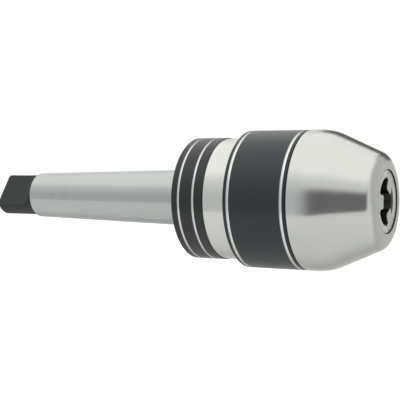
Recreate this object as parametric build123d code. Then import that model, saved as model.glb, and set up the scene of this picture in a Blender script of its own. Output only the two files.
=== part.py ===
from build123d import *
from math import asin, cos, pi, radians, sin, sqrt, tan
import os

# Keyless drill chuck on a Morse taper 3 shank, in millimetres.
# The axis of the chuck is X, with the nose towards +X and the tang towards -X.
# The origin is on the axis, in the gauge plane of the taper. Radii are about the axis,
# and a roll is an angle about it, in degrees from +Z.

# ---- Clearances ----
running = 0.05  # radial, between a turning or sliding shaft and its bore
rim_running = 0.08  # radial, between the thrust flange and the grip sleeve
slip = 0.12  # round a jaw in its slot, and round its foot in the spindle
free = 0.3  # between parts that pass each other without touching

# ---- Morse taper 3 shank, form B ----
gauge_radius = 23.825 / 2
taper_slope = 1 / 19.922 / 2  # radius gained for each millimetre towards the nose
taper_small_end = -74.0
taper_edge = 0.4
tang_length = 20.0
tang_radius = 18.26 / 2
tang_thickness = 7.9
tang_flat_length = 13.0
run_out_radius = 7.0
tang_corner = 0.8
tang_roll = 55.0

# ---- Black collar ----
collar_back = 9.0
collar_length = 14.4
collar_web = 2.5  # thickness of the collar's back wall
collar_radius = 25.5
collar_edge = 0.5
collar_grooves = (3.4, 9.9)  # from the collar's back
collar_groove_width = 0.9
collar_pin_radius = 1.5
collar_pin_length = 6.0
collar_pin_roll = 180.0

# ---- Neck ring and the snap ring that holds it ----
neck_length = 9.9
neck_radius = 25.2
snap_thickness = 1.2
snap_depth = 0.9
snap_height = 2.0
snap_opening = 30.0  # degrees

# ---- Core of the arbor ----
collar_seat_radius = 14.0
race_seat_radius = 17.0
flange_thickness = 3.6
screw_radius = 8.0
screw_lead = 3.0
screw_floor = 2.8  # from the collar's back wall to the end of the screw's bore

# ---- Grip sleeve and its nut ----
grip_length = 26.8
grip_radius = 28.35
grip_wall = 2.45
grip_edge = 0.5
grip_grooves = (2.2, 24.75)  # from the sleeve's back
grip_groove_width = 1.1
groove_depth = 0.35
split_gap = 0.25  # the line between the grip sleeve and the hood
nut_inset = 0.3
nut_length = 3.7

# ---- Thrust bearing ----
ball_radius = 2.0
ball_spacing = 6.5
race_thickness = 1.6
race_half_gap = 1.3  # from the balls' centres to the face of each race
race_rim_gap = 0.8  # between the races and the grip sleeve
race_track_clearance = 0.1
cage_thickness = 1.4
cage_width = 5.6  # in radius
cage_pocket_clearance = 0.15

# ---- Rubber rings, by the radius of their section ----
seal_section = 1.0
drag_section = 0.9
rubber_room = 0.1  # beside a rubber ring in its groove

# ---- Hood ----
hood_step = 0.05  # how far it stands proud of the grip sleeve
hood_length = 8.7  # of its cylinder
cone_length = 22.7
cone_slope = 0.451
nose_round = 4.9
shoulder_round = 22.0
spigot_length = 8.5
sleeve_wall_at_spigot = 1.38
spigot_wall = 1.2
wall_over_guide = 1.8  # the hood's wall over the jaw guide, in radius, on the cone

# ---- Jaw guide ----
guide_wall = 4.3
guide_inset = 3.0  # from the front of the grip sleeve to the guide's back
ring_radius = 12.36  # of the guide where it shows in the nose
ring_length = 0.4
ring_gap = 0.2  # the line between the guide and the hood, in the nose
guide_recess = 0.4  # from the hood's nose back to the face of the guide and the jaws
mouth_clearance = 0.75  # round the largest drill
mouth_chamfer = 0.9
corner_relief = 0.5
guide_pin_radius = 0.9
guide_pin_length = 8.0

# ---- Jaws ----
jaw_count = 3
jaw_slope = 20.0  # degrees between the axis and the way a jaw slides
blade_width = 5.5
flange_width = 7.5
flange_height = 3.2
jaw_back_at_nose = 11.5
jaw_back_round = 11.5
grip_opening = 4.475  # radius between the jaws, as modelled
tip_apex = 3.35  # radius at which the two flats of a jaw's tip would meet
land_length = 18.0
foot_inner = 11.6  # radial reach of the foot that the spindle's head holds
foot_outer = 18.8
foot_thickness = 3.3
foot_neck_width = 4.2
smallest_grip = 1.5  # radius of the smallest drill
largest_grip = 8.0

# ---- Spindle ----
head_thickness = 9.0
head_lip = 3.0
head_edge = 0.5
head_slot_inner = 7.4
screw_end_edge = 1.0

# ---- Places along the axis ----
tang_end = taper_small_end - tang_length
web_front = collar_back + collar_web
collar_front = collar_back + collar_length
neck_front = collar_front + neck_length
grip_back = neck_front + free
grip_front = grip_back + grip_length
nut_back = grip_back + nut_inset
nut_front = nut_back + nut_length
ball_centre = nut_front + race_thickness + race_half_gap
flange_rear = ball_centre + race_half_gap + race_thickness
flange_front = flange_rear + flange_thickness
screw_bore_end = web_front + screw_floor
hood_back = grip_front - spigot_length
cone_start = grip_front + hood_length
nose_face = cone_start + cone_length
guide_face = nose_face - guide_recess
guide_back = grip_front - guide_inset

# ---- Radii ----
hood_radius = grip_radius + hood_step
grip_bore = grip_radius - grip_wall
spigot_radius = grip_radius - sleeve_wall_at_spigot
guide_radius = spigot_radius - spigot_wall
guide_bore = guide_radius - guide_wall
flange_radius = grip_bore - rim_running
race_outer = grip_bore - race_rim_gap
ball_pitch_radius = (race_seat_radius + race_outer) / 2
mouth_radius = largest_grip + mouth_clearance
spindle_head_radius = guide_bore - free
screw_run = screw_radius - running

# ---- Travel, from the pose that is modelled to each end ----
tip_half_angle = radians(180 / jaw_count)
tip_edge_width = grip_opening * sin(
    tip_half_angle - asin(tip_apex * sin(pi - tip_half_angle) / grip_opening)
)
tip_edge_depth = tip_edge_width / tan(tip_half_angle)
inward = grip_opening - smallest_grip
outward = sqrt(largest_grip**2 - tip_edge_width**2) - tip_edge_depth - tip_apex
forward = inward / tan(radians(jaw_slope))
backward = outward / tan(radians(jaw_slope))

# ---- Places that follow from the travel ----
head_back = flange_front + free + backward
head_front = head_back + head_thickness
lip_back = head_front - head_lip
foot_back = lip_back - slip - foot_thickness
jaw_back = head_front + free
screw_end = screw_bore_end + 2 * free + backward
guide_bore_end = head_front + forward + free

jaw_rolls = [90.0 + 360.0 * n / jaw_count for n in range(jaw_count)]
guide_pin_rolls = [roll + 180.0 / jaw_count for roll in jaw_rolls]
ball_count = int(2 * pi * ball_pitch_radius / ball_spacing)


def turned(*points):
    """A solid turned about the axis, from its outline as (place along the axis, radius)."""
    return revolve(make_face(Polyline(*points, close=True)), Axis.X)


def tube(start, end, inner, outer):
    """A plain ring or disc between two places along the axis."""
    return turned((start, inner), (end, inner), (end, outer), (start, outer))


def rolled(shape, degrees):
    """A shape turned about the axis of the chuck."""
    return Rot(degrees, 0, 0) * shape


def rod(start, end, radius, at_radius, roll):
    """A pin parallel to the axis, at a radius from it."""
    upright = Rot(0, 90, 0) * Cylinder(radius, end - start)
    return rolled(Pos((start + end) / 2, 0, at_radius) * upright, roll)


def block(start, end, width, low, high):
    """A box at +Z, between two places along the axis and two radii."""
    centre = Pos((start + end) / 2, 0, (low + high) / 2)
    return centre * Box(end - start, width, high - low)


def wedge(start, end, apex, half_angle, reach):
    """All that lies at +Z between two flats that meet at a radius, between two places."""
    half = reach * tan(half_angle)
    triangle = Polyline((0, apex), (half, apex + reach), (-half, apex + reach), close=True)
    across = Plane(origin=(start, 0, 0), x_dir=(0, 1, 0), z_dir=(1, 0, 0))
    return extrude(across * make_face(triangle), amount=end - start)


def rubber_ring(place, at_radius, section):
    """A round-section ring about the axis."""
    return Pos(place, 0, 0) * Rot(0, 90, 0) * Torus(at_radius, section)


def with_grooves(ring, places, width, radius):
    """A ring with a groove turned into its rim at each place, with sloping sides."""
    floor = width / 2 - groove_depth / 2
    above = radius + groove_depth
    for place in places:
        ring -= turned(
            (place - width / 2, above),
            (place - width / 2, radius),
            (place - floor, radius - groove_depth),
            (place + floor, radius - groove_depth),
            (place + width / 2, radius),
            (place + width / 2, above),
        )
    return ring


def taper_radius(place):
    """Radius of the Morse taper at a place along the axis."""
    return gauge_radius + taper_slope * place


# ---- The arbor and what is fixed to it ----
def tang_flat_cutter():
    """What a cutter takes off one side of the tang, with its round run-out."""
    level = tang_thickness / 2
    rise = tang_radius - level
    flat_end = tang_end + tang_flat_length
    arc_end = flat_end + sqrt(run_out_radius**2 - (run_out_radius - rise) ** 2)
    start = tang_end - rise
    above = tang_radius + rise
    outline = [
        Line((start, level), (flat_end, level)),
        TangentArc((flat_end, level), (arc_end, tang_radius), tangent=(1, 0)),
        Polyline((arc_end, tang_radius), (arc_end, above), (start, above), (start, level)),
    ]
    side = extrude(make_face(outline), amount=above, both=True)
    return Rot(90, 0, 0) * side


def arbor_body():
    """Tang, taper, core and thrust flange, with the bore of the left-hand screw."""
    small_radius = taper_radius(taper_small_end)
    shoulder_radius = taper_radius(collar_back)
    body = turned(
        (tang_end, 0),
        (tang_end, tang_radius - tang_corner),
        (tang_end + tang_corner, tang_radius),
        (taper_small_end, tang_radius),
        (taper_small_end, small_radius - taper_edge),
        (taper_small_end + taper_edge, small_radius),
        (collar_back, shoulder_radius),
        (web_front, shoulder_radius),
        (web_front, collar_seat_radius),
        (neck_front, collar_seat_radius),
        (neck_front, race_seat_radius),
        (flange_rear, race_seat_radius),
        (flange_rear, flange_radius),
        (flange_front, flange_radius),
        (flange_front, 0),
    )
    for side in (0, 180):
        body -= rolled(tang_flat_cutter(), tang_roll + side)
    body -= tube(screw_bore_end, flange_front, 0, screw_radius)
    body -= snap_band(collar_seat_radius + snap_height)
    body -= drag_groove()
    return body - collar_pin()


def snap_band(outer):
    """The ring of space between the snap ring's bore and a radius."""
    return tube(collar_front - snap_thickness, collar_front, collar_seat_radius - snap_depth, outer)


def snap_ring():
    """Open spring ring that holds the neck ring on the core."""
    ring = snap_band(collar_seat_radius - snap_depth + snap_height)
    return ring - wedge(web_front, neck_front, 0, radians(snap_opening / 2), 2 * collar_radius)


def collar_pin():
    """Pin that keys the collar to the core, half in each."""
    end = web_front + collar_pin_length
    return rod(web_front, end, collar_pin_radius, collar_seat_radius, collar_pin_roll)


def rear_collar():
    """Black ring at the back, with two turned grooves."""
    web_bore = taper_radius(collar_back) + running
    snap_room = collar_seat_radius - snap_depth + snap_height + free
    snap_wall = collar_front - snap_thickness - free
    collar = turned(
        (collar_back, web_bore),
        (collar_back, collar_radius - collar_edge),
        (collar_back + collar_edge, collar_radius),
        (collar_front - collar_edge / 2, collar_radius),
        (collar_front, collar_radius - collar_edge / 4),
        (collar_front, snap_room),
        (snap_wall, snap_room),
        (snap_wall, collar_seat_radius),
        (web_front, collar_seat_radius),
        (web_front, web_bore),
    )
    places = [collar_back + offset for offset in collar_grooves]
    return with_grooves(collar, places, collar_groove_width, collar_radius) - collar_pin()


def neck_ring():
    """Bright ring between the collar and the grip sleeve."""
    return tube(collar_front, neck_front, collar_seat_radius, neck_radius)


def drag_groove():
    """Groove in the rim of the thrust flange."""
    middle = (flange_rear + flange_front) / 2
    half = drag_section + rubber_room
    return tube(middle - half, middle + half, flange_radius - 2 * drag_section, grip_radius)


def drag_ring():
    """Rubber ring that rubs in the sleeve, so the hood doesn't run free."""
    middle = (flange_rear + flange_front) / 2
    return rubber_ring(middle, flange_radius - drag_section, drag_section)


# ---- The thrust bearing ----
def race(start, inner):
    """A hardened ring with a round track for the balls."""
    track = rubber_ring(ball_centre, ball_pitch_radius, ball_radius + race_track_clearance)
    return tube(start, start + race_thickness, inner, race_outer) - track


def around_pitch(shape):
    """A shape repeated at each ball's place."""
    at_top = Pos(ball_centre, 0, ball_pitch_radius) * shape
    return [rolled(at_top, 360 * n / ball_count) for n in range(ball_count)]


def ball_cage():
    """Brass ring that spaces the balls."""
    cage = tube(
        ball_centre - cage_thickness / 2,
        ball_centre + cage_thickness / 2,
        ball_pitch_radius - cage_width / 2,
        ball_pitch_radius + cage_width / 2,
    )
    pocket = Rot(0, 90, 0) * Cylinder(ball_radius + cage_pocket_clearance, 2 * cage_thickness)
    for place in around_pitch(pocket):
        cage -= place
    return cage


def thrust_balls():
    """The bearing's balls."""
    return Compound(children=around_pitch(Sphere(ball_radius)))


# ---- The turning sleeve, hood and guide ----
def sleeve_nut():
    """Nut in the back of the grip sleeve, which carries the bearing's thrust."""
    bore = race_seat_radius + free
    middle = (nut_back + nut_front) / 2
    half = seal_section + rubber_room
    groove_floor = race_seat_radius + running + 2 * seal_section + rubber_room
    groove = tube(middle - half, middle + half, race_seat_radius, groove_floor)
    return tube(nut_back, nut_front, bore, grip_bore) - groove


def seal_ring():
    """Rubber ring that keeps chips out of the bearing."""
    middle = (nut_back + nut_front) / 2
    return rubber_ring(middle, race_seat_radius + running + seal_section, seal_section)


def grip_sleeve():
    """Dark ring that the hand turns."""
    front = grip_front - split_gap
    sleeve = turned(
        (grip_back, grip_bore),
        (grip_back, grip_radius - grip_edge),
        (grip_back + grip_edge, grip_radius),
        (front - grip_edge / 2, grip_radius),
        (front, grip_radius - grip_edge / 2),
        (front, spigot_radius),
        (hood_back, spigot_radius),
        (hood_back, grip_bore),
    )
    places = [grip_back + offset for offset in grip_grooves]
    return with_grooves(sleeve, places, grip_groove_width, grip_radius)


def guide_outline(front, gap=0.0):
    """The jaw guide's outside from its long cone to a front, with a gap round its ring."""
    cone_from = cone_start + (hood_radius - wall_over_guide - guide_radius) / cone_slope
    ring_back = guide_face - ring_length
    # a cone of 45 degrees behind the ring rises until it meets the long cone
    rise = ring_radius + ring_back - guide_radius - cone_slope * cone_from
    meet = rise / (1 - cone_slope)
    return [
        (cone_from, guide_radius),
        (meet, guide_radius - cone_slope * (meet - cone_from)),
        (ring_back - gap, ring_radius + gap),
        (front, ring_radius + gap),
    ]


def hood():
    """Satin shell that carries the jaw guide, with a spigot screwed into the grip sleeve."""
    shoulder = (cone_start, hood_radius)
    nose_corner = (nose_face, hood_radius - cone_slope * cone_length)
    outline = Polyline(
        (hood_back, guide_radius),
        (hood_back, spigot_radius),
        (grip_front, spigot_radius),
        (grip_front, hood_radius - grip_edge / 2),
        (grip_front + grip_edge / 2, hood_radius),
        shoulder,
        nose_corner,
        *reversed(guide_outline(nose_face, ring_gap)),
        close=True,
    )
    face = make_face(outline)
    for corner, rounding in ((nose_corner, nose_round), (shoulder, shoulder_round)):
        face = fillet(face.vertices().sort_by_distance(corner)[0], rounding)
    return revolve(face, Axis.X) - guide_pins()


def jaw_guide():
    """Cone that carries the jaws in their sloping slots."""
    guide = turned(
        (guide_back, guide_bore),
        (guide_back, guide_radius),
        *guide_outline(guide_face),
        (guide_face, mouth_radius + mouth_chamfer),
        (guide_face - mouth_chamfer, mouth_radius),
        (guide_bore_end, mouth_radius),
        (guide_bore_end, guide_bore),
    )
    slot = jaw_bar(slip, corner_relief)
    for roll in jaw_rolls:
        guide -= rolled(slot, roll)
    return guide - guide_pins()


def guide_pins():
    """Pins that key the guide to the hood."""
    end = guide_back + guide_pin_length
    pins = [rod(guide_back, end, guide_pin_radius, guide_radius, roll) for roll in guide_pin_rolls]
    return Compound(children=pins)


# ---- The jaws and the spindle that drives them ----
def jaw_section(clearance, relief):
    """The section of a jaw or its slot across the slide, as (width, height off the axis)."""
    slope = radians(jaw_slope)
    inner = (guide_face - land_length) * sin(slope) + grip_opening * cos(slope)
    back = guide_face * sin(slope) + jaw_back_at_nose * cos(slope) + clearance
    step = back - 2 * clearance - flange_height
    blade = blade_width / 2 + clearance
    wide = flange_width / 2 + clearance
    back_radius = jaw_back_round + clearance
    side_top = back - back_radius + sqrt(back_radius**2 - wide**2)
    one_side = [(wide, side_top), (wide, step), (blade, step), (blade, inner)]
    other_side = [(-width, height) for width, height in reversed(one_side)]
    outline = [
        Polyline(*one_side, *other_side),
        ThreePointArc((-wide, side_top), (0, back), (wide, side_top)),
    ]
    section = make_face(outline)
    if relief:
        for side in (-wide, wide):
            section += Pos(side, side_top) * Circle(relief)
    return section


def jaw_bar(clearance, relief):
    """The section drawn out along the slide of the jaw at +Z, well past both ends."""
    slope = radians(jaw_slope)
    across = Plane(origin=(0, 0, 0), x_dir=(0, 1, 0), z_dir=(cos(slope), 0, -sin(slope)))
    return extrude(across * jaw_section(clearance, relief), amount=2 * nose_face)


def jaw():
    """One jaw, at +Z: flanged blade, tip with its hollow land, and the foot behind."""
    blade = jaw_bar(0, 0) & tube(jaw_back, guide_face, 0, hood_radius)
    neck = block(foot_back, jaw_back + free, foot_neck_width, foot_inner, foot_outer)
    foot = block(foot_back, foot_back + foot_thickness, flange_width, foot_inner, foot_outer)
    solid = (blade + neck + foot) & wedge(0, 2 * nose_face, tip_apex, tip_half_angle, hood_radius)
    return solid - tube(foot_back, 2 * nose_face, 0, grip_opening)


def spindle():
    """Left-hand screw whose head has a T-slot for each jaw's foot."""
    head_rim = spindle_head_radius - head_edge
    screw = turned(
        (screw_end, 0),
        (screw_end, screw_run - screw_end_edge),
        (screw_end + screw_end_edge, screw_run),
        (head_back, screw_run),
        (head_back, head_rim),
        (head_back + head_edge, spindle_head_radius),
        (head_front - head_edge, spindle_head_radius),
        (head_front, head_rim),
        (head_front, 0),
    )
    cavity_back = foot_back - slip
    wide = flange_width + 2 * slip
    narrow = foot_neck_width + 2 * slip
    cavity = block(cavity_back, lip_back, wide, head_slot_inner, guide_bore)
    mouth = block(cavity_back, head_front + free, narrow, head_slot_inner, guide_bore)
    for roll in jaw_rolls:
        screw -= rolled(cavity, roll)
        screw -= rolled(mouth, roll)
    return screw


pieces = {
    "arbor_body": arbor_body(),
    "rear_collar": rear_collar(),
    "collar_pin": collar_pin(),
    "neck_ring": neck_ring(),
    "snap_ring": snap_ring(),
    "drag_ring": drag_ring(),
    "front_race": race(flange_rear - race_thickness, race_seat_radius + running),
    "ball_cage": ball_cage(),
    "thrust_balls": thrust_balls(),
    "rear_race": race(nut_front, race_seat_radius + free),
    "sleeve_nut": sleeve_nut(),
    "seal_ring": seal_ring(),
    "grip_sleeve": grip_sleeve(),
    "hood": hood(),
    "jaw_guide": jaw_guide(),
    "guide_pins": guide_pins(),
    "spindle": spindle(),
}
for number, roll in enumerate(jaw_rolls, start=1):
    pieces[f"jaw_{number}"] = rolled(jaw(), roll)

os.makedirs("parts", exist_ok=True)
for name, piece in pieces.items():
    export_step(piece, f"parts/{name}.step")

print("jaw travel, mm in radius: inward", round(inward, 3), "outward", round(outward, 3))
print("spindle travel, mm: forward", round(forward, 4), "backward", round(backward, 4))
for way, travel in (("closing", forward), ("opening", backward)):
    print("sleeve turn,", way, round(360 * travel / screw_lead, 1), "degrees")
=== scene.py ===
import math

import bpy
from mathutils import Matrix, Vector


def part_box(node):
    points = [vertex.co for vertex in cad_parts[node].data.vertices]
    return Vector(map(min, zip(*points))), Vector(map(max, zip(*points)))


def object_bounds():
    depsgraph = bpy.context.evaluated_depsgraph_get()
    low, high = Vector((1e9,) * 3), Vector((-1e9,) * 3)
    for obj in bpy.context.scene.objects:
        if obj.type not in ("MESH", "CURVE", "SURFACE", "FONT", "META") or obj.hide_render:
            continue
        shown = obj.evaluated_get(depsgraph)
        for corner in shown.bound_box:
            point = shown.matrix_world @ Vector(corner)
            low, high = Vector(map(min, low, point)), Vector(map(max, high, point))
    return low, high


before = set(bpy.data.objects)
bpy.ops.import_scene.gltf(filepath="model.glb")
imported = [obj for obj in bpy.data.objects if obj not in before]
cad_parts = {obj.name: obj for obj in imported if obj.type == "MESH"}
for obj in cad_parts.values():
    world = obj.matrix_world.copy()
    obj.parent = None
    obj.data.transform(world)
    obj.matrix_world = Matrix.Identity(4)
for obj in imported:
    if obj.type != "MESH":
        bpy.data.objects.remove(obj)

# Keyless drill chuck, its axis level, in a plain white studio. Lengths are in metres, and X is the
# chuck's axis, from the tang to the nose. Where a finish changes along the axis, its places are
# measured from the box of the node.

scene = bpy.context.scene
scene.view_settings.view_transform = "Standard"
cad_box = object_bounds()
MM = 0.001

# ---- Camera ----
IMAGE_SIDE = 400  # pixels
FOCAL_LENGTH = 1003.0  # in pixels
SENSOR_WIDTH = 36.0  # mm
CLIP_START = 0.01
CAMERA_AZIMUTH = math.radians(27.787)
CAMERA_ELEVATION = math.radians(2.25)
CAMERA_DISTANCE = 0.42899
LOOK_AT = Vector((9.11 * MM, 0.0, -0.87 * MM))


def direction(azimuth, elevation):
    """Unit vector towards an azimuth from -Y and an elevation, in radians."""
    level = math.cos(elevation)
    return Vector((math.sin(azimuth) * level, -math.cos(azimuth) * level, math.sin(elevation)))


def make_camera():
    """A camera at the photo's angle, with no shift."""
    data = bpy.data.cameras.new("camera")
    camera = bpy.data.objects.new("camera", data)
    scene.collection.objects.link(camera)
    scene.camera = camera
    back = direction(CAMERA_AZIMUTH, CAMERA_ELEVATION)
    camera.location = LOOK_AT + back * CAMERA_DISTANCE
    camera.rotation_mode = "QUATERNION"
    camera.rotation_quaternion = (-back).to_track_quat("-Z", "Y")
    data.sensor_width = SENSOR_WIDTH
    data.lens = SENSOR_WIDTH * FOCAL_LENGTH / IMAGE_SIDE
    data.clip_start = CLIP_START


make_camera()


# ---- Node graphs ----
def rgb(red, green, blue):
    return (red, green, blue, 1.0)


def grey(level):
    return rgb(level, level, level)


class Graph:
    """A node tree, with short ways to make and join its nodes."""

    # A Mix node has sockets of the same names for numbers and vectors. These are the colours'.
    MIX_SHARE, MIX_FIRST, MIX_SECOND, MIX_RESULT = 0, 6, 7, 2

    def __init__(self, tree):
        self.tree = tree
        tree.nodes.clear()

    def node(self, kind, **settings):
        made = self.tree.nodes.new(kind)
        for name, value in settings.items():
            setattr(made, name, value)
        return made

    def feed(self, socket, value):
        """Joins a socket to another node's output, or sets it."""
        if isinstance(value, bpy.types.NodeSocket):
            self.tree.links.new(value, socket)
        else:
            socket.default_value = value

    def place(self, kind):
        """Coordinates: Object on a piece, or Generated in the world, where they are a direction."""
        return self.node("ShaderNodeTexCoord").outputs[kind]

    def parts(self, vector):
        """The X, Y and Z of a vector."""
        made = self.node("ShaderNodeSeparateXYZ")
        self.feed(made.inputs[0], vector)
        return made.outputs

    def vector(self, x, y, z):
        made = self.node("ShaderNodeCombineXYZ")
        for socket, value in zip(made.inputs, (x, y, z)):
            self.feed(socket, value)
        return made.outputs[0]

    def math(self, operation, *values):
        made = self.node("ShaderNodeMath", operation=operation)
        for socket, value in zip(made.inputs, values):
            self.feed(socket, value)
        return made.outputs[0]

    def chain(self, operation, values):
        """An operation over any number of values, from the first on."""
        total = values[0]
        for value in values[1:]:
            total = self.math(operation, total, value)
        return total

    def add(self, *values):
        return self.chain("ADD", values)

    def times(self, *values):
        return self.chain("MULTIPLY", values)

    def most(self, *values):
        return self.chain("MAXIMUM", values)

    def between(self, share, first, second):
        """A number between two numbers: the first where the share is 0."""
        rest = self.math("SUBTRACT", 1.0, share)
        return self.add(self.times(rest, first), self.times(share, second))

    def step(self, value, start, end, low=0.0, high=1.0):
        """A smooth step from low to high as the value goes from start to end."""
        made = self.node("ShaderNodeMapRange", interpolation_type="SMOOTHSTEP")
        for name, setting in (
            ("Value", value),
            ("From Min", start),
            ("From Max", end),
            ("To Min", low),
            ("To Max", high),
        ):
            self.feed(made.inputs[name], setting)
        return made.outputs["Result"]

    def band(self, value, start, end, soft):
        """1 between two values and 0 outside them, with soft edges."""
        rise = self.step(value, start - soft / 2, start + soft / 2)
        fall = self.step(value, end - soft / 2, end + soft / 2, 1.0, 0.0)
        return self.times(rise, fall)

    def mix(self, share, first, second, blend="MIX"):
        """A colour between two colours, or blended from them in another way."""
        made = self.node("ShaderNodeMix", data_type="RGBA", blend_type=blend)
        self.feed(made.inputs[self.MIX_SHARE], share)
        self.feed(made.inputs[self.MIX_FIRST], first)
        self.feed(made.inputs[self.MIX_SECOND], second)
        return made.outputs[self.MIX_RESULT]

    def noise(self, vector, scale, detail, roughness=0.5):
        """Noise about 0, from about -0.5 to 0.5."""
        made = self.node("ShaderNodeTexNoise", noise_dimensions="3D")
        self.feed(made.inputs["Vector"], vector)
        self.feed(made.inputs["Scale"], scale)
        self.feed(made.inputs["Detail"], detail)
        self.feed(made.inputs["Roughness"], roughness)
        return self.math("SUBTRACT", made.outputs["Fac"], 0.5)


# ---- Studio ----
FLOOR_DROP = 62 * MM  # from the chuck's lowest point
FLOOR_LEVEL = cad_box[0].z - FLOOR_DROP
FLOOR_FRONT = -0.235  # the edge of the floor towards -Y, like a table's
FLOOR_REACH = 4.0  # the other ways
FLOOR_COLOUR = grey(0.62)
SEEN_TOP_UP = 0.49  # what brings the lit floor up to white, where it is seen
MIRRORED_TOP_UP = 0.31  # and where metal mirrors it, in front of the chuck
UNLIT_FROM, UNLIT_TO = -0.02, 0.06  # over this stretch of Y the mirrored one falls to nothing

SEEN_WHITE = grey(1.0)
SOFTBOX = rgb(1.30, 1.32, 1.26)
WALLS = rgb(0.92, 0.94, 0.92)
FRONT_GAP = rgb(0.18, 0.18, 0.185)
SIDE_GAP = rgb(0.71, 0.735, 0.735)
BACK_GAP = rgb(0.16, 0.16, 0.15)
GREY_WALL = rgb(0.68, 0.69, 0.68)

# Where these lie, in degrees. A start, an end, a foot or a top is a soft edge, given by where the
# change begins and ends. A sector is its start, its end and how soft both are. Azimuths of the back
# gap and the horizon are counted from +Y towards -X, and the others from -Y towards +X.
SOFTBOX_FOOT = (28, 50)
FRONT_GAP_START, FRONT_GAP_END, FRONT_GAP_TOP = (-26, 15), (45, 56), (12, 26)
SIDE_GAP_SECTOR, SIDE_GAP_TOP = (-110, 0, 40), (4, 34)
BACK_GAP_SECTOR, BACK_GAP_FOOT, BACK_GAP_TOP = (-19, 20, 6), (4, 9), (30, 42)
NOSE_WALL_SECTOR, NOSE_WALL_TOP = (80, 172, 16), (40, 60)
HORIZON_SECTOR, HORIZON_TOP = (10, 75, 16), (5, 20)


def top_up(graph):
    """How much the floor glows for rays from the camera, mirrors and glass."""
    rays = graph.node("ShaderNodeLightPath").outputs
    mirrored = graph.most(rays["Is Glossy Ray"], rays["Is Transmission Ray"])
    y = graph.parts(graph.place("Object"))["Y"]
    mirrored_glow = graph.step(y, UNLIT_FROM, UNLIT_TO, MIRRORED_TOP_UP, 0.0)
    seen_glow = graph.times(rays["Is Camera Ray"], SEEN_TOP_UP)
    return graph.add(seen_glow, graph.times(mirrored, mirrored_glow))


def make_floor():
    """A plain white floor. It lets a camera that is below it see through."""
    reach = FLOOR_REACH
    corners = [(-reach, FLOOR_FRONT), (reach, FLOOR_FRONT), (reach, reach), (-reach, reach)]
    mesh = bpy.data.meshes.new("floor")
    mesh.from_pydata([(x, y, FLOOR_LEVEL) for x, y in corners], [], [(0, 1, 2, 3)])
    floor = bpy.data.objects.new("floor", mesh)
    scene.collection.objects.link(floor)
    material = bpy.data.materials.new("white_floor")
    material.use_nodes = True
    graph = Graph(material.node_tree)
    paint = graph.node("ShaderNodeBsdfDiffuse")
    graph.feed(paint.inputs["Color"], FLOOR_COLOUR)
    glow = graph.node("ShaderNodeEmission")
    graph.feed(glow.inputs["Strength"], top_up(graph))
    lit = graph.node("ShaderNodeAddShader")
    graph.feed(lit.inputs[0], paint.outputs[0])
    graph.feed(lit.inputs[1], glow.outputs[0])
    clear = graph.node("ShaderNodeBsdfTransparent")
    side = graph.node("ShaderNodeMixShader")
    graph.feed(side.inputs[0], graph.node("ShaderNodeNewGeometry").outputs["Backfacing"])
    graph.feed(side.inputs[1], lit.outputs[0])
    graph.feed(side.inputs[2], clear.outputs[0])
    out = graph.node("ShaderNodeOutputMaterial")
    graph.feed(out.inputs["Surface"], side.outputs[0])
    mesh.materials.append(material)


def make_world():
    """A white tent with a softbox overhead, dark gaps in front and high at the back, a pale gap at
    the side, and grey past the nose and low at the back. The camera itself sees white."""
    world = bpy.data.worlds.new("studio")
    scene.world = world
    world.use_nodes = True
    graph = Graph(world.node_tree)
    x, y, z = graph.parts(graph.place("Generated"))
    azimuth = graph.math("ARCTAN2", x, graph.times(y, -1.0))
    from_back = graph.math("ARCTAN2", graph.times(x, -1.0), y)
    elevation = graph.math("ARCSINE", z)

    def rise(angle, edge):
        return graph.step(angle, *map(math.radians, edge))

    def fall(angle, edge):
        return graph.step(angle, *map(math.radians, edge), 1.0, 0.0)

    def sector(angle, limits):
        return graph.band(angle, *map(math.radians, limits))

    front = graph.times(
        rise(azimuth, FRONT_GAP_START),
        fall(azimuth, FRONT_GAP_END),
        fall(elevation, FRONT_GAP_TOP),
    )
    side = graph.times(sector(azimuth, SIDE_GAP_SECTOR), fall(elevation, SIDE_GAP_TOP))
    back = graph.times(
        sector(from_back, BACK_GAP_SECTOR),
        rise(elevation, BACK_GAP_FOOT),
        fall(elevation, BACK_GAP_TOP),
    )
    nose_wall = graph.times(sector(azimuth, NOSE_WALL_SECTOR), fall(elevation, NOSE_WALL_TOP))
    horizon = graph.times(sector(from_back, HORIZON_SECTOR), fall(elevation, HORIZON_TOP))

    studio = graph.mix(rise(elevation, SOFTBOX_FOOT), WALLS, SOFTBOX)
    studio = graph.mix(side, studio, SIDE_GAP)
    studio = graph.mix(graph.most(nose_wall, horizon), studio, GREY_WALL)
    studio = graph.mix(front, studio, FRONT_GAP)
    studio = graph.mix(back, studio, BACK_GAP)
    seen = graph.node("ShaderNodeLightPath").outputs["Is Camera Ray"]
    background = graph.node("ShaderNodeBackground")
    graph.feed(background.inputs["Color"], graph.mix(seen, studio, SEEN_WHITE))
    out = graph.node("ShaderNodeOutputWorld")
    graph.feed(out.inputs["Surface"], background.outputs[0])


make_floor()
make_world()


# ---- Finishes ----
LAY_TURN = 0.25  # of a turn: the gloss is drawn out across the turning marks
FINE_SHARE = 0.05  # how high the finest marks are beside the rings
PATCH_ROUGHNESS = 0.55  # of the noise that makes patches
FILM_ROUGHNESS = 0.12  # of a film of oil


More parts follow.
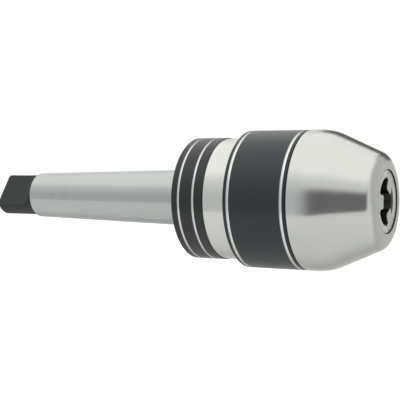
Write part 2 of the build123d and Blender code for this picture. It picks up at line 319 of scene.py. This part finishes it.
class Finish:
    """A material that is worked out round the chuck's axis, with the coordinates it needs."""

    def __init__(self, name):
        self.material = bpy.data.materials.new(name)
        self.material.use_nodes = True
        self.graph = Graph(self.material.node_tree)
        graph = self.graph
        self.place = graph.place("Object")
        self.x, self.y, self.z = graph.parts(self.place)
        squares = graph.add(graph.times(self.y, self.y), graph.times(self.z, self.z))
        self.radius = graph.math("SQRT", squares)
        self.roll = graph.math("ARCTAN2", self.y, self.z)

    def turning(self, pitch, drift=0.3):
        """Rings about the axis, of a pitch, that change slowly on the way round."""
        round_way = self.graph.times(self.roll, drift * pitch)
        rings = self.graph.vector(self.x, self.radius, round_way)
        return self.graph.noise(rings, 1 / pitch, detail=2.0)

    def patches(self, size, detail=3.0):
        """Soft patches the same way in all directions."""
        return self.graph.noise(self.place, 1 / size, detail, PATCH_ROUGHNESS)

    def varied(self, base, *parts):
        """A value with some noise added, from pairs of noise and amount."""
        graph = self.graph
        return graph.add(base, *(graph.times(noise, amount) for noise, amount in parts))

    def tinted(self, colour, *parts):
        """A colour made lighter and darker by some noise, from such pairs."""
        light = self.varied(1.0, *parts)
        shade = self.graph.vector(light, light, light)
        return self.graph.mix(1.0, colour, shade, blend="MULTIPLY")

    def surface(self, colour, roughness, height, bump, metal=1.0, lay=None, film=0.0):
        """Closes the material. Bump is how deep a height of 1 is, lay is how much the gloss
        follows the turning marks, and film is how much oil lies on it."""
        graph = self.graph
        shader = graph.node("ShaderNodeBsdfPrincipled")
        graph.feed(shader.inputs["Base Color"], colour)
        graph.feed(shader.inputs["Roughness"], roughness)
        graph.feed(shader.inputs["Metallic"], metal)
        if film:
            shader.inputs["Coat Weight"].default_value = film
            shader.inputs["Coat Roughness"].default_value = FILM_ROUGHNESS
        if lay is not None:
            shader.inputs["Anisotropic"].default_value = lay
            shader.inputs["Anisotropic Rotation"].default_value = LAY_TURN
            tangent = graph.node("ShaderNodeTangent", direction_type="RADIAL", axis="X")
            graph.feed(shader.inputs["Tangent"], tangent.outputs[0])
        marks = graph.node("ShaderNodeBump")
        graph.feed(marks.inputs["Strength"], 1.0)
        graph.feed(marks.inputs["Distance"], bump)
        graph.feed(marks.inputs["Height"], height)
        graph.feed(shader.inputs["Normal"], marks.outputs[0])
        out = graph.node("ShaderNodeOutputMaterial")
        graph.feed(out.inputs["Surface"], shader.outputs[0])
        return self.material


GROUND = rgb(0.46, 0.475, 0.47)
TANG_SCALE = rgb(0.008, 0.010, 0.013)
SATIN = rgb(0.57, 0.575, 0.56)
NECK = rgb(0.62, 0.62, 0.595)
GUIDE = rgb(0.69, 0.69, 0.67)
JAW_FACE = rgb(0.59, 0.59, 0.57)
# Painted shade on the jaws' sides behind their faces.
JAW_SIDE_SHADE = grey(0.17)
BRIGHT = rgb(0.74, 0.75, 0.74)
OXIDE = rgb(0.011, 0.013, 0.015)
SLATE = rgb(0.014, 0.019, 0.025)
EDGE_BLACK = rgb(0.006, 0.006, 0.007)
# Painted shade for the hole in the hood's nose, the rim round the guide and the bore behind the
# guide's face.
RECESS_SHADE = grey(0.022)
BRASS = rgb(0.72, 0.55, 0.26)
SPRING = rgb(0.2, 0.2, 0.21)
RUBBER = rgb(0.02, 0.02, 0.021)

# The shank: its black tang ends a little raggedly, and its scale is rough and dull.
TANG_LENGTH = 20 * MM
TANG_RAGGED = 0.3 * MM
TANG_EDGE = (-0.1 * MM, 0.25 * MM)
SCALE_HEIGHT = 6.0  # beside the turning marks
SCALE_METAL = 0.15

# The nose. A pair is where a finish begins and ends to change, as distances along the axis from a
# face, or outwards from a radius.
NOSE_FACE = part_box("hood")[1].x
GUIDE_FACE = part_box("jaw_guide")[1].x  # a little behind the hood's nose
GUIDE_RADIUS = 12.36 * MM
HOLE_RADIUS = 12.56 * MM  # of the hole in the hood's nose
HOLE_EDGE = (0.06 * MM, 0.16 * MM)  # from HOLE_RADIUS, where the painted shade in the hole ends
HOLE_DEPTH = (-3.0 * MM, -2.0 * MM)  # from NOSE_FACE, where it begins
GUIDE_RIM = (-0.25 * MM, -0.1 * MM)  # from GUIDE_RADIUS, where the painted shade round the guide begins
FACE_DEPTH = (-0.5 * MM, -0.15 * MM)  # from GUIDE_FACE, where the painted shade of the bore and the jaws' sides gives way to the face
JAW_END = (-2.4 * MM, -2.2 * MM)  # from GUIDE_FACE, where a jaw's lines give way to rings
BORE_SHADE = 0.82  # how much of the bore's colour is painted shade
SHADE_ROUGHNESS = 0.3  # what the painted shade adds to the roughness
LINE_SQUEEZE = 0.05  # along a jaw, which draws its lines out

# The coated rings: the middles of their bright grooves, and their black rims' starts and ends.
COLLAR_GROOVES, COLLAR_GROOVE_WIDTH = (3.4 * MM, 9.9 * MM), 0.9 * MM
COLLAR_RIMS = ((-0.1 * MM, 0.3 * MM), (13.9 * MM, 14.6 * MM))
GRIP_GROOVES, GRIP_GROOVE_WIDTH = (2.2 * MM, 24.75 * MM), 1.1 * MM
GRIP_RIMS = ((-0.1 * MM, 1.5 * MM), (25.4 * MM, 26.9 * MM))
COAT_SOFT = 0.15 * MM
GRAIN_HEIGHT = 0.6  # beside the rings
GROOVE_POLISH = 1 / 3  # of the coat's roughness, which the grooves are without


def near(place, edge):
    """A pair of distances from a place, as places."""
    return (place + edge[0], place + edge[1])


def satin_steel(name, colour, roughness, lay, shaded=None):
    """Steel turned to a satin, with faint rings and a few soft handling marks, and painted shade
    where the given function of the finish is 1."""
    finish = Finish(name)
    graph = finish.graph
    fine = finish.turning(0.25 * MM)
    rings = finish.turning(1.6 * MM)
    patches = finish.patches(14 * MM)
    shade = finish.tinted(colour, (fine, 0.05), (rings, 0.05), (patches, 0.04))
    gloss = finish.varied(roughness, (fine, 0.03), (rings, 0.04), (patches, 0.05))
    height = graph.add(graph.times(fine, FINE_SHARE), rings)
    # Painted shade: the recesses are darkened where the given function is 1.
    if shaded is not None:
        painted_shade = shaded(finish)
        shade = graph.mix(painted_shade, shade, RECESS_SHADE)
        gloss = finish.varied(gloss, (painted_shade, SHADE_ROUGHNESS))
    return finish.surface(shade, gloss, height, bump=0.8e-6, lay=lay)


def hole_shade(finish):
    """Painted shade on the wall of the hole in the hood's nose, and on its edge."""
    graph = finish.graph
    wall = graph.step(finish.radius, *near(HOLE_RADIUS, HOLE_EDGE), 1.0, 0.0)
    return graph.times(wall, graph.step(finish.x, *near(NOSE_FACE, HOLE_DEPTH)))


def guide_shade(finish):
    """Painted shade round the rim of the guide's face, and on its bore and slots behind the face.
    """
    graph = finish.graph
    rim = graph.step(finish.radius, *near(GUIDE_RADIUS, GUIDE_RIM))
    behind = graph.step(finish.x, *near(GUIDE_FACE, FACE_DEPTH), BORE_SHADE, 0.0)
    return graph.most(rim, behind)


def shank_steel(name):
    """Ground taper, with the tang behind it left black from hardening."""
    low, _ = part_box("arbor_body")
    finish = Finish(name)
    graph = finish.graph
    fine = finish.turning(0.3 * MM)
    rings = finish.turning(2.5 * MM)
    patches = finish.patches(9 * MM)
    scale = finish.patches(2.5 * MM, detail=5.0)
    ragged = graph.add(finish.x, graph.times(patches, TANG_RAGGED))
    black = graph.step(ragged, *near(low.x + TANG_LENGTH, TANG_EDGE), 1.0, 0.0)
    ground = finish.tinted(GROUND, (fine, 0.06), (rings, 0.08), (patches, 0.05))
    scaled = finish.tinted(TANG_SCALE, (scale, 1.2), (patches, 1.2))
    ground_gloss = finish.varied(0.24, (fine, 0.03), (rings, 0.05), (patches, 0.06))
    scaled_gloss = finish.varied(0.46, (scale, 0.25), (patches, 0.15))
    ground_height = graph.add(rings, graph.times(fine, FINE_SHARE))
    scaled_height = graph.times(scale, SCALE_HEIGHT)
    return finish.surface(
        graph.mix(black, ground, scaled),
        graph.between(black, ground_gloss, scaled_gloss),
        graph.between(black, ground_height, scaled_height),
        bump=1.5e-6,
        metal=graph.step(black, 0.0, 1.0, 1.0, SCALE_METAL),
        lay=0.6,
    )


def coated(name, node, colour, roughness, grooves, groove_width, rims):
    """Dark coating over turned steel, with bright grooves and black edges at some places."""
    low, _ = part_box(node)
    finish = Finish(name)
    graph = finish.graph
    fine = finish.turning(0.2 * MM)
    rings = finish.turning(1.2 * MM)
    patches = finish.patches(11 * MM)
    grain = finish.patches(0.6 * MM)
    half = groove_width / 2
    bright = graph.most(
        *(graph.band(finish.x, *near(low.x + g, (-half, half)), COAT_SOFT) for g in grooves)
    )
    dark = finish.tinted(colour, (rings, 0.25), (patches, 0.35), (grain, 0.2))
    for rim in rims:
        black = graph.band(finish.x, *near(low.x, rim), COAT_SOFT)
        dark = graph.mix(black, dark, EDGE_BLACK)
    steel = finish.tinted(BRIGHT, (fine, 0.1))
    gloss = finish.varied(roughness, (rings, 0.08), (patches, 0.12), (grain, 0.06))
    gloss = graph.math("SUBTRACT", gloss, graph.times(bright, roughness * GROOVE_POLISH))
    height = graph.add(rings, graph.times(grain, GRAIN_HEIGHT))
    shade = graph.mix(bright, dark, steel)
    return finish.surface(shade, gloss, height, bump=1.2e-6, metal=bright, lay=0.6)


def machined(name, colour, roughness, pitch=0.6 * MM, film=0.0):
    """Plain turned or ground metal inside the chuck, with a film of oil on some of it."""
    finish = Finish(name)
    rings = finish.turning(pitch)
    patches = finish.patches(6 * MM)
    shade = finish.tinted(colour, (rings, 0.12), (patches, 0.15))
    gloss = finish.varied(roughness, (rings, 0.1), (patches, 0.15))
    return finish.surface(shade, gloss, rings, bump=2e-6, film=film)


def rubber(name):
    """Black moulded rubber with a dull bloom."""
    finish = Finish(name)
    grain = finish.patches(0.3 * MM)
    bloom = finish.patches(4 * MM)
    shade = finish.tinted(RUBBER, (bloom, 0.8), (grain, 0.3))
    gloss = finish.varied(0.62, (bloom, 0.2))
    return finish.surface(shade, gloss, grain, bump=4e-6, metal=0.0)


def jaw_steel(name):
    """Hardened steel, ground along the jaw, with rings on its nose end, and painted shade on its
    sides behind its face."""
    finish = Finish(name)
    graph = finish.graph
    along = graph.vector(graph.times(finish.x, LINE_SQUEEZE), finish.y, finish.z)
    pitch = 0.5 * MM
    lines = graph.noise(along, 1 / pitch, detail=2.0)
    rings = finish.turning(pitch, drift=0.15)
    end = graph.step(finish.x, *near(GUIDE_FACE, JAW_END))
    marks = graph.between(end, lines, rings)
    patches = finish.patches(4 * MM)
    # Painted shade: the sides behind the face are darker than the face.
    face = graph.step(finish.x, *near(GUIDE_FACE, FACE_DEPTH))
    steel = graph.mix(face, JAW_SIDE_SHADE, JAW_FACE)
    shade = finish.tinted(steel, (marks, 0.18), (patches, 0.12))
    gloss = finish.varied(0.28, (marks, 0.12), (patches, 0.12))
    return finish.surface(shade, gloss, marks, bump=1.0e-6)


collar = coated(
    "collar_oxide", "rear_collar", OXIDE, 0.34, COLLAR_GROOVES, COLLAR_GROOVE_WIDTH, COLLAR_RIMS
)
grip = coated(
    "grip_slate", "grip_sleeve", SLATE, 0.33, GRIP_GROOVES, GRIP_GROOVE_WIDTH, GRIP_RIMS
)
jaw = jaw_steel("jaw_ground")
race = machined("race_steel", grey(0.62), 0.16, pitch=0.3 * MM, film=0.5)
pin = machined("pin_steel", grey(0.52), 0.25)
seal = rubber("seal_rubber")
finishes = {
    "arbor_body": shank_steel("shank_steel"),
    "rear_collar": collar,
    "neck_ring": satin_steel("neck_steel", NECK, 0.18, lay=0.6),
    "grip_sleeve": grip,
    "hood": satin_steel("hood_satin", SATIN, 0.2, lay=0.7, shaded=hole_shade),
    "jaw_guide": satin_steel("guide_satin", GUIDE, 0.3, lay=0.5, shaded=guide_shade),
    "jaw_1": jaw,
    "jaw_2": jaw,
    "jaw_3": jaw,
    "spindle": machined("spindle_steel", grey(0.36), 0.34, film=0.3),
    "sleeve_nut": machined("nut_steel", grey(0.42), 0.36),
    "front_race": race,
    "rear_race": race,
    "ball_cage": machined("cage_brass", BRASS, 0.32),
    "thrust_balls": machined("ball_steel", grey(0.66), 0.08, pitch=2 * MM, film=0.5),
    "snap_ring": machined("spring_steel", SPRING, 0.38),
    "collar_pin": pin,
    "guide_pins": pin,
    "drag_ring": seal,
    "seal_ring": seal,
}
for node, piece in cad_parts.items():
    piece.data.materials.clear()
    piece.data.materials.append(finishes[node])
